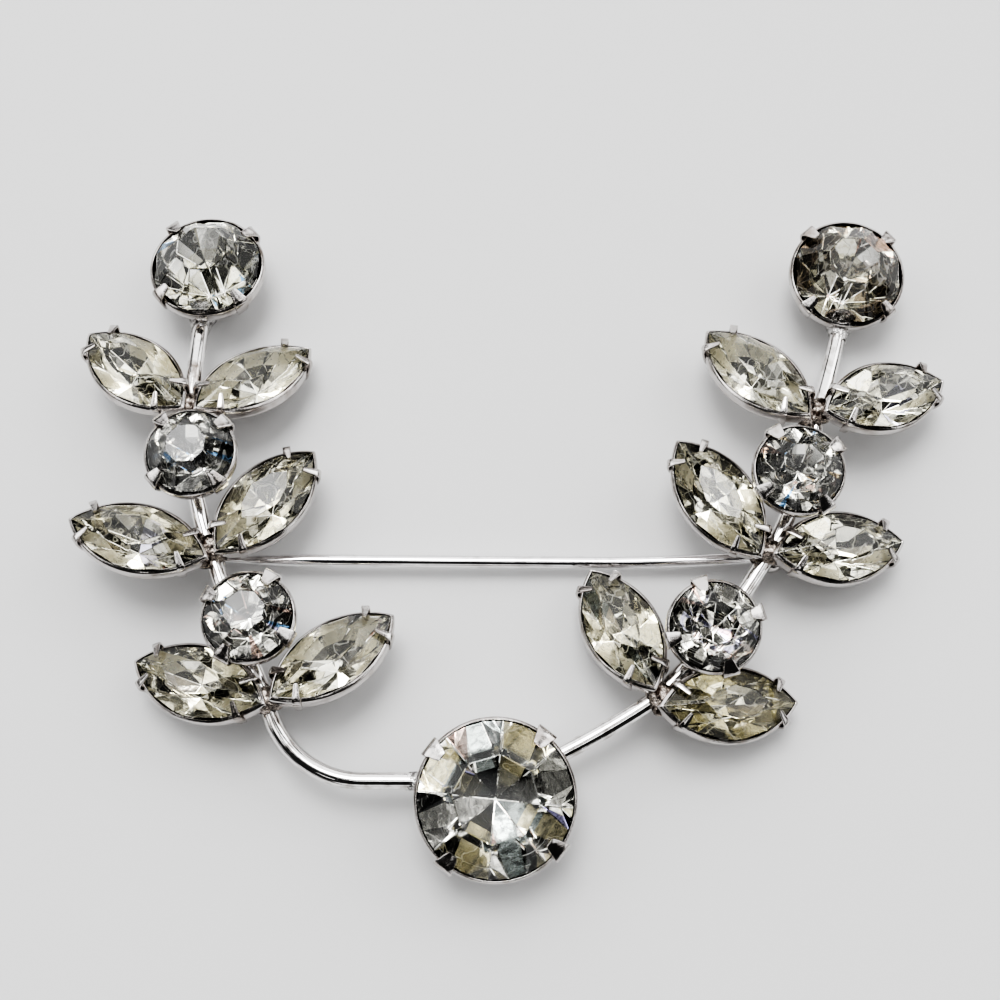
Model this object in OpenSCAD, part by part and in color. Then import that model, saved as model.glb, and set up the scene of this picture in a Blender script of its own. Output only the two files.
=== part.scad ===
// Laurel brooch: nineteen clear stones in pronged cups on two bent wires, with a hinged pin at the back.
// Millimetres. +Z points out of the face, +Y to the two branch tips, +X to the hinge side.
// The origin lies on the surface the brooch rests on, under the middle of its outline.

/* [Stones] */
// Diameter of the two stones at the branch tips
tip_stone_d = 8.1; // [7.8:0.1:8.3]
// Diameter of the four small round stones
small_stone_d = 6.1; // [5.9:0.1:6.3]
// Diameter of the large stone at the bottom
large_stone_d = 10.6; // [10.2:0.1:10.8]
// Length of a navette stone
navette_l = 10; // [9.6:0.1:10.2]
// Width of a navette stone
navette_w = 5; // [4.8:0.1:5.2]
// Width of a table as a share of the stone's width
table_share = 0.48; // [0.44:0.01:0.5]
// Width of the large stone's table as a share of its width
large_table_share = 0.56; // [0.5:0.01:0.58]
// Height of a round stone's crown as a share of the stone's half width
crown_share = 0.58; // [0.52:0.01:0.6]
// Height of the large stone's crown as a share of its half width
large_crown_share = 0.4; // [0.36:0.01:0.44]
// Height of a navette's crown as a share of its half width
navette_crown_share = 0.45; // [0.4:0.01:0.46]
// Depth of the pavilion as a share of the stone's half width
pavilion_share = 0.82; // [0.78:0.01:0.84]

/* [Settings] */
// Gap between a stone and its cup
stone_gap = 0.05; // [0.04:0.01:0.08]
// Thickness of a cup's sheet metal
cup_wall = 0.23; // [0.2:0.01:0.28]
// Height of a cup's straight upper wall below the stone's edge
cup_band = 1; // [0.9:0.05:1.1]
// Height of a cup's rim above the stone's edge
rim_h = 0.12; // [0.08:0.02:0.14]
// Thickness of a prong
prong_t = 0.26; // [0.22:0.01:0.3]
// How far a prong's bend stands out from its cup
prong_out = 0.28; // [0.2:0.02:0.3]
// How far a prong reaches in over its stone
prong_reach = 0.5; // [0.4:0.05:0.55]
// Height of the underside of a prong's tip above the stone's edge
prong_rise = 0.65; // [0.62:0.01:0.7]
// Width of the large stone's prongs
large_prong_w = 1.5; // [1.3:0.05:1.6]
// Width of the tip stones' prongs
tip_prong_w = 1.1; // [1:0.05:1.2]
// Width of the small round stones' prongs
small_prong_w = 1.2; // [1:0.05:1.3]
// Width of the navettes' prongs
leaf_prong_w = 0.6; // [0.5:0.05:0.65]
// Width of a prong's tip as a share of its full width
prong_tip_share = 0.5; // [0.4:0.05:0.6]

/* [Wires and solder] */
// Diameter of the branch wires
wire_d = 1.2; // [1.1:0.05:1.3]
// Diameter of the solder drop at a joint of leaves and wire
solder_d = 2.1; // [2:0.05:2.3]
// Height of the drop's middle above the wire's
solder_lift = 0.2; // [0.1:0.05:0.3]

/* [Pin] */
// Diameter of the pin stem
pin_d = 0.9; // [0.8:0.05:0.95]
// Diameter of the pin at its point
pin_tip_d = 0.12; // [0.1:0.02:0.2]
// Diameter of the eye that turns on the rivet
eye_d = 1.8; // [1.75:0.05:1.9]
// Width of the eye
eye_w = 1; // [0.9:0.05:1.1]
// Diameter of the rivet
rivet_d = 0.84; // [0.8:0.02:0.86]
// Gap all round the rivet in the eye
rivet_play = 0.03; // [0.02:0.01:0.05]

/* [Hidden] */

// Facets of a cup, of the small round parts, and of the circle that a bent wire follows, all in the preview
fine = 72;
small = 36;
bend_fine = 288;

// One row for each setting, measured at the middle of its stone's edge.
// turn is the way a leaf points from its joint, or the place of a round cup's first prong.
// cut is how far a round stone's first table corner is turned on from that prong.
// The face leans by lean degrees, and its side towards lean_to is the lower one.
// roll turns a leaf about its long axis, and lifts the side to the left of the way it points.
NAME = 0;
KIND = 1;
X = 2;
Y = 3;
Z = 4;
TURN = 5;
LEAN_TO = 6;
LEAN = 7;
ROLL = 8;
CUT = 9;
SETTINGS = [
    //  name                  kind       x      y     z    turn  lean_to  lean  roll  cut
    ["large_stone",        "large",   -1.2, -19.2, 4.8,    52,    -80,    5,    0,  -13],
    ["left_tip_stone",     "tip",    -23.0,  20.5, 3.8,    40,     90,    8,    0,  -17],
    ["right_tip_stone",    "tip",     25.3,  19.9, 3.7,    41,    -90,    1,    0,  -21],
    ["left_upper_stone",   "small",  -22.8,   4.8, 6.8,    42,     90,    3,    0,  -20],
    ["right_upper_stone",  "small",   20.2,   3.5, 6.8,    32,    -90,    3,    0,  -10],
    ["left_lower_stone",   "small",  -18.2,  -7.0, 6.6,    62,     90,    3,    0,    0],
    ["right_lower_stone",  "small",   13.8,  -7.7, 6.6,    17,    -90,    3,    0,  -22],
    ["left_leaf_1a",       "leaf",   -27.7,  11.9, 4.5,   140,    140,   12,   11,    0],
    ["left_leaf_1b",       "leaf",   -19.1,  11.6, 3.7,    38,     38,   20,  -15,    0],
    ["left_leaf_2a",       "leaf",   -26.5,  -1.0, 5.2,   164,    164,    3,   14,    0],
    ["left_leaf_2b",       "leaf",   -17.7,   1.9, 4.4,    51,     51,   10,   -2,    0],
    ["left_leaf_3a",       "leaf",   -21.9, -11.1, 4.0,   161,    161,   13,    5,    0],
    ["left_leaf_3b",       "leaf",   -12.6,  -9.3, 4.3,    37,     37,   10,  -16,    0],
    ["right_leaf_1a",      "leaf",    18.0,  11.7, 4.5,   132,    132,   14,    9,    0],
    ["right_leaf_1b",      "leaf",    27.3,   9.9, 4.4,    19,     19,   15,   -4,    0],
    ["right_leaf_2a",      "leaf",    14.7,   2.0, 4.9,   122,    122,    5,    0,    0],
    ["right_leaf_2b",      "leaf",    23.4,  -1.4, 3.9,     9,      9,   16,   -3,    0],
    ["right_leaf_3a",      "leaf",     7.7,  -7.2, 3.6,   114,    114,   17,    0,    0],
    ["right_leaf_3b",      "leaf",    15.1, -12.6, 3.7,     4,      4,   17,    0,    0]
];

// The wires' joints, where two leaves are soldered to the wire
LEFT_JOINTS = [[-23.6, 9.2, 3.8], [-21.6, -1.5, 3.8], [-17.1, -12.3, 3.6]];
RIGHT_JOINTS = [[22.4, 8.8, 3.8], [18.3, -1.8, 3.8], [10.2, -12.0, 3.6]];

// The right wire ends in the large cup
WIRES_END = [2.4, -16.4, 2.9];

// Each bent wire is an arc from one point, through a second, to a third
WIRES = [
    //  from                 via                     to
    [[-23.4, 17.8, 2.0],  [-23.5, 13.4, 3.1],   LEFT_JOINTS[0]],
    [LEFT_JOINTS[0],      [-22.9, 3.0, 3.9],    LEFT_JOINTS[1]],
    [LEFT_JOINTS[1],      [-19.5, -6.9, 3.8],   LEFT_JOINTS[2]],
    [[25.0, 17.0, 2.1],   [23.8, 13.0, 3.1],    RIGHT_JOINTS[0]],
    [RIGHT_JOINTS[0],     [20.8, 3.3, 3.9],     RIGHT_JOINTS[1]],
    [RIGHT_JOINTS[1],     [14.5, -7.2, 3.8],    RIGHT_JOINTS[2]],
    [RIGHT_JOINTS[2],     [6.6, -14.2, 3.2],    WIRES_END]
];

// The left wire's last stretch leaves the large cup straight and then bends up to its joint
LAST_START = [-5.2, -17.8, 2.9];
LAST_BEND = [-10.4, -17.8, 3.1];

// Solder that widens from the wire to a tip cup
CONES = [
    //  narrow end           wide end
    [[-23.5, 15.6, 2.5],  [-23.4, 17.4, 2.2]],
    [[24.5, 15.0, 2.6],   [24.8, 16.7, 2.3]]
];

// Hinge: the rivet's axis runs along Y under the second joint of the right branch
EYE = [18.7, -1.6, 1.95];
ear_t = 0.35;
ear_gap = 0.05;
ear_r = 0.95;
ear_waist = 1.4;
plate_bottom = EYE[2] + eye_d / 2 + 0.15;
plate_t = 0.4;
plate_l = 2.8;
rivet_head_d = 1.3;
rivet_head_t = 0.3;

// The pin runs from its point to its shoulder as a cone, straight on to its bend, and in an arc to the eye
PIN_TIP = [-22.4, -1.75, 1.55];
PIN_SHOULDER = [-14.8, -1.8, 1.45];
PIN_BEND = [5, -1.9, 1.2];

// Catch: a strip bent round the pin's point and open below, so that the point can leave downwards
CATCH = [-21.5, -1.75, 1.55];
catch_w = 1.5;
catch_gap = 0.55;
catch_t = 0.3;
catch_from = -48;
catch_turn = 200;
catch_strap_w = 0.7;
catch_strap_h = 1.6;

// Where two bars of one thickness meet, one is this much thinner and starts inside the other
step = 0.02;
lap = 0.3;

function round_prong_w(kind) =
    kind == "large" ? large_prong_w :
    kind == "tip" ? tip_prong_w : small_prong_w;

function half_width(kind) =
    kind == "large" ? large_stone_d / 2 :
    kind == "tip" ? tip_stone_d / 2 :
    kind == "small" ? small_stone_d / 2 : navette_w / 2;

// A navette's outline is two arcs of this radius, with centres this far to each side
arc_r = (pow(navette_l / 2, 2) + pow(navette_w / 2, 2)) / navette_w;
arc_shift = arc_r - navette_w / 2;

// Distance from the middle to the stone's edge, at an angle from its long axis
function edge_at(kind, angle) =
    kind == "leaf"
    ? sqrt(pow(arc_r, 2) - pow(arc_shift * cos(angle), 2)) - arc_shift * abs(sin(angle))
    : half_width(kind);

// Angles of the cut: navettes have their corners spread evenly along the outline, not round the middle
function cut_angle(kind, angle) =
    kind == "leaf" ? atan2(navette_w * sin(angle), navette_l * cos(angle)) : angle;

// A table with a main facet along each side and a fan of narrow facets from each corner, a thin girdle,
// and a pavilion of as many mains with a like fan between each pair
mains = 8;
lower_share = 0.7;
girdle_h = 0.1;

// Where the narrow facets of a fan meet the girdle, in degrees from the corner that they spread from
function fan_angles(kind) =
    kind == "large" ? [-16, -8, 0, 8, 16] :
    kind == "small" ? [-15, -7.5, 0, 7.5, 15] :
    kind == "tip" ? [-6, 0, 6] : [-9, 0, 9];

function table_of(kind) = kind == "large" ? large_table_share : table_share;

function crown_of(kind) =
    kind == "large" ? large_crown_share :
    kind == "leaf" ? navette_crown_share : crown_share;

function cut_ring(kind, share, angles, height) = [
    for (angle = angles)
        let (a = cut_angle(kind, angle), r = share * edge_at(kind, a))
        [r * cos(a), r * sin(a), height]
];

module stone(kind) {
    w = half_width(kind);
    fan = fan_angles(kind);
    n = len(fan);
    depth = pavilion_share * w;
    half_step = 180 / mains;
    rise = (depth - girdle_h) * cos(half_step) / cos(half_step - fan[n - 1]);
    corners = [for (i = [0 : mains - 1]) 2 * half_step * i];
    fans = [for (corner = corners, side = fan) corner + side];
    top = cut_ring(kind, table_of(kind), corners, crown_of(kind) * w);
    edge = cut_ring(kind, 1, fans, 0);
    under = cut_ring(kind, 1, fans, -girdle_h);
    lower = cut_ring(kind, lower_share, corners, lower_share * rise - depth);
    e = mains;
    u = e + n * mains;
    l = u + n * mains;
    c = l + mains;
    faces = concat(
        [[for (i = [mains - 1 : -1 : 0]) i]],
        [
            for (i = [0 : mains - 1])
                let (next = (i + 1) % mains, last = n * i + n - 1, beyond = n * next)
                each [
                    [i, e + beyond, e + last],
                    [i, next, e + beyond],
                    [c, l + i, u + last],
                    [c, u + last, u + beyond],
                    [c, u + beyond, l + next]
                ]
        ],
        [
            for (i = [0 : mains - 1], k = [0 : n - 2])
                let (j = n * i + k)
                each [[i, e + j + 1, e + j], [l + i, u + j, u + j + 1]]
        ],
        [
            for (i = [0 : n * mains - 1])
                let (next = (i + 1) % (n * mains))
                each [[e + i, e + next, u + i], [e + next, u + next, u + i]]
        ]
    );
    polyhedron(concat(top, edge, under, lower, [[0, 0, -depth]]), faces);
}

// Puts its children at a setting's place, turned and leaning
module place(s) {
    translate([s[X], s[Y], s[Z]])
        rotate([0, 0, s[LEAN_TO]])
            rotate([0, s[LEAN], 0])
                rotate([0, 0, s[TURN] - s[LEAN_TO]])
                    rotate([s[ROLL], 0, 0])
                        children();
}

// Under its straight wall a cup narrows to a shoulder and then to its flat base.
// Both are this share of the stone's half width further in, and the shoulder is this share of the way down.
base_inset = 0.62;
shoulder_inset = 0.2;
shoulder_drop = 0.35;

// Side view of a cup from its axis to its wall, for the outer or the hollow side
// in is the metal's thickness taken off, and top is how high the shape goes
function cup_side(edge_r, w, in, top) =
    let (
        wall_r = edge_r + stone_gap + cup_wall - in,
        depth = pavilion_share * w + stone_gap + cup_wall - in,
        base_r = edge_r - base_inset * w - in,
        shoulder_r = edge_r - shoulder_inset * w - in,
        shoulder_h = cup_band + shoulder_drop * (depth - cup_band)
    )
    [
        [0, -depth], [base_r, -depth], [shoulder_r, -shoulder_h],
        [wall_r, -cup_band], [wall_r, top], [0, top]
    ];

// A cup's outer shape, or its hollow. A navette's is what two round ones have in common.
module cup_body(kind, in, top) {
    w = half_width(kind);
    if (kind == "leaf")
        intersection() {
            translate([0, arc_shift, 0])
                rotate_extrude($fn = fine) polygon(cup_side(arc_r, w, in, top));
            translate([0, -arc_shift, 0])
                rotate_extrude($fn = fine) polygon(cup_side(arc_r, w, in, top));
        }
    else
        rotate_extrude($fn = fine) polygon(cup_side(w, w, in, top));
}

// A prong's foot runs down past the cup's band, its bend is a short upright face, and its tip is bevelled
foot_l = 0.3;
foot_out = 0.05;
bend_h = 0.1;
tip_bevel = 0.15;

// A prong stands on the cup's wall and folds in over the stone, where it narrows. r is the stone's edge there.
module prong(r, width) {
    wall_r = r + stone_gap + cup_wall;
    root_r = wall_r - cup_wall / 2;
    tip_w = prong_tip_share * width;
    intersection() {
        rotate([90, 0, 0])
            linear_extrude(width, center = true)
                polygon([
                    [root_r, -cup_band - foot_l],
                    [wall_r + foot_out, -cup_band - bend_h],
                    [wall_r + prong_out, -bend_h],
                    [wall_r + prong_out, rim_h + bend_h],
                    [r - prong_reach + tip_bevel, prong_rise + prong_t],
                    [r - prong_reach, prong_rise],
                    [root_r, rim_h]
                ]);
        linear_extrude(4 * cup_band, center = true)
            polygon([
                [r - prong_reach - step, -tip_w / 2],
                [r, -width / 2 - step],
                [wall_r + prong_out + step, -width / 2 - step],
                [wall_r + prong_out + step, width / 2 + step],
                [r, width / 2 + step],
                [r - prong_reach - step, tip_w / 2]
            ]);
    }
}

// A navette's prongs stand this far round its arcs from the middle, in degrees
leaf_prong_angle = 37;

// Four prongs, spread round a circle, or in pairs near a navette's two ends
module prongs(kind) {
    if (kind == "leaf")
        for (side = [-1, 1], end = [-1, 1])
            translate([0, -side * arc_shift, 0])
                rotate([0, 0, side * 90 + end * leaf_prong_angle])
                    prong(arc_r, leaf_prong_w);
    else
        for (i = [0 : 3])
            rotate([0, 0, 90 * i])
                prong(half_width(kind), round_prong_w(kind));
}

// A straight round bar from a to b, which may taper from d1 to d2
module bar(a, b, d1, d2) {
    v = b - a;
    translate(a)
        rotate([0, acos(v[2] / norm(v)), atan2(v[1], v[0])])
            cylinder(d1 = d1, d2 = d2, h = norm(v), $fn = small);
}

// A round bar bent to an arc that leaves a in the direction t and ends at c
module bent_bar(a, t, c, d) {
    ahead = t / norm(t);
    normal = cross(ahead, c - a) / norm(cross(ahead, c - a));
    inward = cross(normal, ahead);
    r = (c - a) * (c - a) / (2 * (c - a) * inward);
    middle = a + r * inward;
    turn = atan2((c - middle) * ahead, -(c - middle) * inward);
    multmatrix([
        [-inward[0], ahead[0], normal[0], middle[0]],
        [-inward[1], ahead[1], normal[1], middle[1]],
        [-inward[2], ahead[2], normal[2], middle[2]]
    ])
        rotate_extrude(angle = turn, $fn = bend_fine)
            translate([r, 0]) circle(d = d, $fn = small);
}

// The direction in which the arc from a through b to c leaves a
function arc_start(a, b, c) =
    let (
        p = b - a,
        q = c - a,
        n = cross(p, q),
        middle = (cross(n, p) * (q * q) + cross(q, n) * (p * p)) / (2 * n * n)
    )
    cross(middle, n) * sign(cross(middle, n) * p);

module wires() {
    for (w = WIRES) bent_bar(w[0], arc_start(w[0], w[1], w[2]), w[2], wire_d);
    ahead = (LAST_BEND - LAST_START) / norm(LAST_BEND - LAST_START);
    bar(LAST_START, LAST_BEND + lap * ahead, wire_d - step, wire_d - step);
    bent_bar(LAST_BEND, ahead, LEFT_JOINTS[2], wire_d);
    for (c = CONES) bar(c[0], c[1], wire_d + 2 * step, 2 * wire_d);
}

// A drop of solder lies on each joint, where one wire ends and the next begins.
// Its poles lie along the wire.
module solder_drops() {
    for (w = WIRES) {
        ahead = w[2] - w[1];
        if (w[2] != WIRES_END)
            translate(w[2] + [0, 0, solder_lift])
                rotate([0, 90, atan2(ahead[1], ahead[0])])
                    sphere(d = solder_d, $fn = small);
    }
}

module hinge_bracket() {
    plate_w = eye_w + 2 * (ear_gap + ear_t);
    ear_y = (eye_w + ear_t) / 2 + ear_gap;
    ear_h = plate_bottom - EYE[2] + plate_t / 2;
    translate([EYE[0] - plate_l / 2, EYE[1] - plate_w / 2, plate_bottom])
        cube([plate_l, plate_w, plate_t]);
    for (side = [-1, 1])
        translate(EYE + [0, side * ear_y, 0])
            rotate([90, 0, 0])
                difference() {
                    union() {
                        cylinder(r = ear_r, h = ear_t, center = true, $fn = small);
                        linear_extrude(ear_t, center = true)
                            polygon([
                                [-plate_l / 2, ear_h], [-ear_waist / 2, 0],
                                [ear_waist / 2, 0], [plate_l / 2, ear_h]
                            ]);
                    }
                    cylinder(d = rivet_d + 2 * step, h = 2 * ear_t, center = true, $fn = small);
                }
}

module catch_hook() {
    translate(CATCH - [catch_w / 2, 0, 0]) {
        rotate([90, 0, 90])
            rotate([0, 0, catch_from])
                rotate_extrude(angle = catch_turn, $fn = fine)
                    translate([catch_gap, 0]) square([catch_t, catch_w]);
        translate([0, -catch_strap_w / 2, catch_gap + catch_t / 2])
            cube([catch_w, catch_strap_w, catch_strap_h]);
    }
}

module frame() {
    color("silver") {
        difference() {
            union() {
                for (s = SETTINGS) place(s) cup_body(s[KIND], 0, rim_h);
                wires();
                solder_drops();
            }
            for (s = SETTINGS) place(s) cup_body(s[KIND], cup_wall, prong_rise);
        }
        for (s = SETTINGS) place(s) prongs(s[KIND]);
        hinge_bracket();
        catch_hook();
    }
}

module pin_stem() {
    ahead = (PIN_BEND - PIN_SHOULDER) / norm(PIN_BEND - PIN_SHOULDER);
    color("gainsboro")
        difference() {
            union() {
                translate(EYE) rotate([90, 0, 0]) cylinder(d = eye_d, h = eye_w, center = true, $fn = small);
                bent_bar(PIN_BEND, ahead, EYE, pin_d);
                bar(PIN_SHOULDER, PIN_BEND + lap * ahead, pin_d - step, pin_d - step);
                bar(PIN_SHOULDER + lap * ahead, PIN_TIP, pin_d - 2 * step, pin_tip_d);
            }
            translate(EYE)
                rotate([90, 0, 0])
                    cylinder(d = rivet_d + 2 * rivet_play, h = 2 * eye_w, center = true, $fn = small);
        }
}

module hinge_rivet() {
    shank = eye_w + 2 * (ear_gap + ear_t) + 2 * step;
    color("silver")
        translate(EYE)
            rotate([90, 0, 0]) {
                cylinder(d = rivet_d, h = shank, center = true, $fn = small);
                for (side = [-1, 1])
                    translate([0, 0, side * (shank + rivet_head_t) / 2])
                        cylinder(d = rivet_head_d, h = rivet_head_t, center = true, $fn = small);
            }
}

module set_stone(name) {
    for (s = SETTINGS)
        if (s[NAME] == name)
            color(s[KIND] == "leaf" ? "beige" : "azure") place(s) rotate([0, 0, s[CUT]]) stone(s[KIND]);
}

frame();
pin_stem();
hinge_rivet();
set_stone("large_stone");  // large_stone
set_stone("left_tip_stone");  // left_tip_stone
set_stone("right_tip_stone");  // right_tip_stone
set_stone("left_upper_stone");  // left_upper_stone
set_stone("right_upper_stone");  // right_upper_stone
set_stone("left_lower_stone");  // left_lower_stone
set_stone("right_lower_stone");  // right_lower_stone
set_stone("left_leaf_1a");  // left_leaf_1a
set_stone("left_leaf_1b");  // left_leaf_1b
set_stone("left_leaf_2a");  // left_leaf_2a
set_stone("left_leaf_2b");  // left_leaf_2b
set_stone("left_leaf_3a");  // left_leaf_3a
set_stone("left_leaf_3b");  // left_leaf_3b
set_stone("right_leaf_1a");  // right_leaf_1a
set_stone("right_leaf_1b");  // right_leaf_1b
set_stone("right_leaf_2a");  // right_leaf_2a
set_stone("right_leaf_2b");  // right_leaf_2b
set_stone("right_leaf_3a");  // right_leaf_3a
set_stone("right_leaf_3b");  // right_leaf_3b
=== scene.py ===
"""Looks of the laurel brooch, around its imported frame. The tables give millimetres and degrees."""

import math
import random

import bmesh
import bpy
from mathutils import Matrix, Vector, noise


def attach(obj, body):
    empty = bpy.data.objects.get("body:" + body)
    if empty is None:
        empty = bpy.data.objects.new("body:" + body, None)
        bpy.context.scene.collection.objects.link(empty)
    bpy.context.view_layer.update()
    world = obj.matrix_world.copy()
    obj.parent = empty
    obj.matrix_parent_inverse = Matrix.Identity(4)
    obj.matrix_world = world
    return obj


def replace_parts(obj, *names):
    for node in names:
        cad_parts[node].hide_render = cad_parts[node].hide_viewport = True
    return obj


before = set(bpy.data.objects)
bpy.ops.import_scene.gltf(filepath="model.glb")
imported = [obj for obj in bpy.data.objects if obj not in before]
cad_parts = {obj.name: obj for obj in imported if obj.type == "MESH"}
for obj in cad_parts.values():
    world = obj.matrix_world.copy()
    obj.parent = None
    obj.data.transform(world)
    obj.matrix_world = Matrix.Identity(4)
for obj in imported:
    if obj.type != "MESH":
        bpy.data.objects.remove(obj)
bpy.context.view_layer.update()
MM = 0.001

# Cut of the stones, as shares of a stone's half width
TABLE_SHARE = {"large": 0.56, "tip": 0.48, "small": 0.48, "leaf": 0.48}
CROWN_SHARE = {"large": 0.4, "tip": 0.58, "small": 0.58, "leaf": 0.45}
PAVILION_SHARE = 0.82
LOWER_SHARE = 0.7
INNER_SHARE = 0.42
MAINS = 8
# Edges that turn by more than this stay crisp, in degrees, and those that get a rib, in radians
SHARP = 40
RIBBED = 0.05
# Where the narrow facets of a fan meet the girdle, in degrees from the corner that they spread from
FAN_ANGLES = {
    "large": (-16, -8, 0, 8, 16),
    "tip": (-6, 0, 6),
    "small": (-15, -7.5, 0, 7.5, 15),
    "leaf": (-9, 0, 9),
}
GIRDLE_H = 0.1
RIB_SHARE = {"large": 0.018, "tip": 0.012, "small": 0.012, "leaf": 0.012}

# Stones and their cups
HALF_WIDTH = {"large": 5.3, "tip": 4.05, "small": 3.05, "leaf": 2.5}
NAVETTE_L = 10
ARC_R = ((NAVETTE_L / 2) ** 2 + HALF_WIDTH["leaf"] ** 2) / (2 * HALF_WIDTH["leaf"])
ARC_SHIFT = ARC_R - HALF_WIDTH["leaf"]
STONE_GAP = 0.05
CUP_WALL = 0.23
CUP_BAND = 1.0
RIM_H = 0.0
BASE_INSET = 0.62
SHOULDER_INSET = 0.2
SHOULDER_DROP = 0.35
NAVETTE_TIP_R = 0.16
PRONG_W = {"large": 1.5, "tip": 1.1, "small": 1.2, "leaf": 0.6}
PRONG_REACH = {"large": 0.72, "tip": 0.56, "small": 0.56, "leaf": 0.72}
LEAF_PRONG_ANGLE = 37
PRONG_HALF_T = 0.1
PRONG_SOFT = 0.07
ROUND_SIDES = 72
LEAF_ARC_STEPS = 24
LEAF_TIP_STEPS = 6
# Radii of the bends in a cup's outer and inner side
CUP_BENDS = (0.5, 0.3)

# name, kind, x, y, z, turn, lean_to, lean, roll, cut, as in the part's own table of settings
SETTINGS = [
    ("large_stone", "large", -1.2, -19.2, 4.8, 52, -80, 5, 0, -13),
    ("left_tip_stone", "tip", -23.0, 20.5, 3.8, 40, 90, 8, 0, -17),
    ("right_tip_stone", "tip", 25.3, 19.9, 3.7, 41, -90, 1, 0, -21),
    ("left_upper_stone", "small", -22.8, 4.8, 6.8, 42, 90, 3, 0, -20),
    ("right_upper_stone", "small", 20.2, 3.5, 6.8, 32, -90, 3, 0, -10),
    ("left_lower_stone", "small", -18.2, -7.0, 6.6, 62, 90, 3, 0, 0),
    ("right_lower_stone", "small", 13.8, -7.7, 6.6, 17, -90, 3, 0, -22),
    ("left_leaf_1a", "leaf", -27.7, 11.9, 4.5, 140, 140, 12, 11, 0),
    ("left_leaf_1b", "leaf", -19.1, 11.6, 3.7, 38, 38, 20, -15, 0),
    ("left_leaf_2a", "leaf", -26.5, -1.0, 5.2, 164, 164, 3, 14, 0),
    ("left_leaf_2b", "leaf", -17.7, 1.9, 4.4, 51, 51, 10, -2, 0),
    ("left_leaf_3a", "leaf", -21.9, -11.1, 4.0, 161, 161, 13, 5, 0),
    ("left_leaf_3b", "leaf", -12.6, -9.3, 4.3, 37, 37, 10, -16, 0),
    ("right_leaf_1a", "leaf", 18.0, 11.7, 4.5, 132, 132, 14, 9, 0),
    ("right_leaf_1b", "leaf", 27.3, 9.9, 4.4, 19, 19, 15, -4, 0),
    ("right_leaf_2a", "leaf", 14.7, 2.0, 4.9, 122, 122, 5, 0, 0),
    ("right_leaf_2b", "leaf", 23.4, -1.4, 3.9, 9, 9, 16, -3, 0),
    ("right_leaf_3a", "leaf", 7.7, -7.2, 3.6, 114, 114, 17, 0, 0),
    ("right_leaf_3b", "leaf", 15.1, -12.6, 3.7, 4, 4, 17, 0, 0),
]

# Joints of leaves and wire, with the two leaves of each
JOINTS = {
    "left_1": ((-23.6, 9.2, 3.8), "left_leaf_1a", "left_leaf_1b"),
    "left_2": ((-21.6, -1.5, 3.8), "left_leaf_2a", "left_leaf_2b"),
    "left_3": ((-17.1, -12.3, 3.6), "left_leaf_3a", "left_leaf_3b"),
    "right_1": ((22.4, 8.8, 3.8), "right_leaf_1a", "right_leaf_1b"),
    "right_2": ((18.3, -1.8, 3.8), "right_leaf_2a", "right_leaf_2b"),
    "right_3": ((10.2, -12.0, 3.6), "right_leaf_3a", "right_leaf_3b"),
}
L1, L2, L3, R1, R2, R3 = (joint[0] for joint in JOINTS.values())

# Each bent wire is a chain of arcs, each from one point, through a second, to a third
WIRE_D = 1.2
LEFT_WIRE = [
    ((-23.4, 17.8, 2.0), (-23.5, 13.4, 3.1), L1),
    (L1, (-22.9, 3.0, 3.9), L2),
    (L2, (-19.5, -6.9, 3.8), L3),
]
RIGHT_WIRE = [
    ((25.0, 17.0, 2.1), (23.8, 13.0, 3.1), R1),
    (R1, (20.8, 3.3, 3.9), R2),
    (R2, (14.5, -7.2, 3.8), R3),
    (R3, (6.6, -14.2, 3.2), (2.4, -16.4, 2.9)),
]
LAST_START = (-5.2, -17.8, 2.9)
LAST_BEND = (-10.4, -17.8, 3.1)
COLLAR = (-6.7, -17.8, 2.95)
COLLAR_R = 0.68
COLLAR_STEP = 0.25
COLLAR_TAPER = 0.03
CONES = {
    "left": ((-23.5, 15.6, 2.5), (-23.4, 17.4, 2.2)),
    "right": ((24.5, 15.0, 2.6), (24.8, 16.7, 2.3)),
}

# Solder at a joint: a ball on the wire, one in each leaf's heel, and one between
JOINT_LIFT = 0.2
JOINT_R = 1.0
HEEL = (-NAVETTE_L / 2 + 0.1, 0, -1.0)
HEEL_R = 0.6
BETWEEN_R = 0.75
CONE_MARGIN = 0.05
CONE_FLARE = 0.55
CONE_CURVE = 1.5
LUMP_GRAIN = 0.35

# Hinge, pin and catch
EYE = (18.7, -1.6, 1.95)
EYE_D = 1.8
EYE_W = 1.0
EYE_SOFT = 0.12
RIVET_D = 0.84
RIVET_PLAY = 0.03
EAR_T = 0.35
EAR_GAP = 0.05
EAR_R = 0.95
PLATE_T = 0.4
PLATE_L = 2.8
PLATE_LIFT = 0.15
RIVET_HEAD_D = 1.3
RIVET_HEAD_T = 0.3
RIVET_SIDES = 36
HINGE_SOFT = 0.07
PIN_D = 0.9
PIN_TIP_D = 0.12
PIN_TIP = (-22.4, -1.75, 1.55)
PIN_SHOULDER = (-14.8, -1.8, 1.45)
PIN_BEND = (5, -1.9, 1.2)
POINT_STEPS = 8
SHAFT_STEPS = 6
BEND_STEPS = 24
CATCH = (-21.5, -1.75, 1.55)
CATCH_W = 1.5
CATCH_GAP = 0.55
CATCH_T = 0.3
CATCH_FROM = -48
CATCH_TURN = 200
CATCH_STRAP_W = 0.7
CATCH_STRAP_H = 1.6
CATCH_STEPS = 24
CATCH_SIDES = 16

# The view, taken from the photograph
CAMERA_TARGET = (-0.9, 3.2, 0)
CAMERA_DISTANCE = 112
CAMERA_ELEVATION = 74
LENS = 54
SENSOR = 36
CLIP_START = 5
EXPOSURE = 0.35
FLOOR_GREY = (0.72, 0.72, 0.72)

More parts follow.
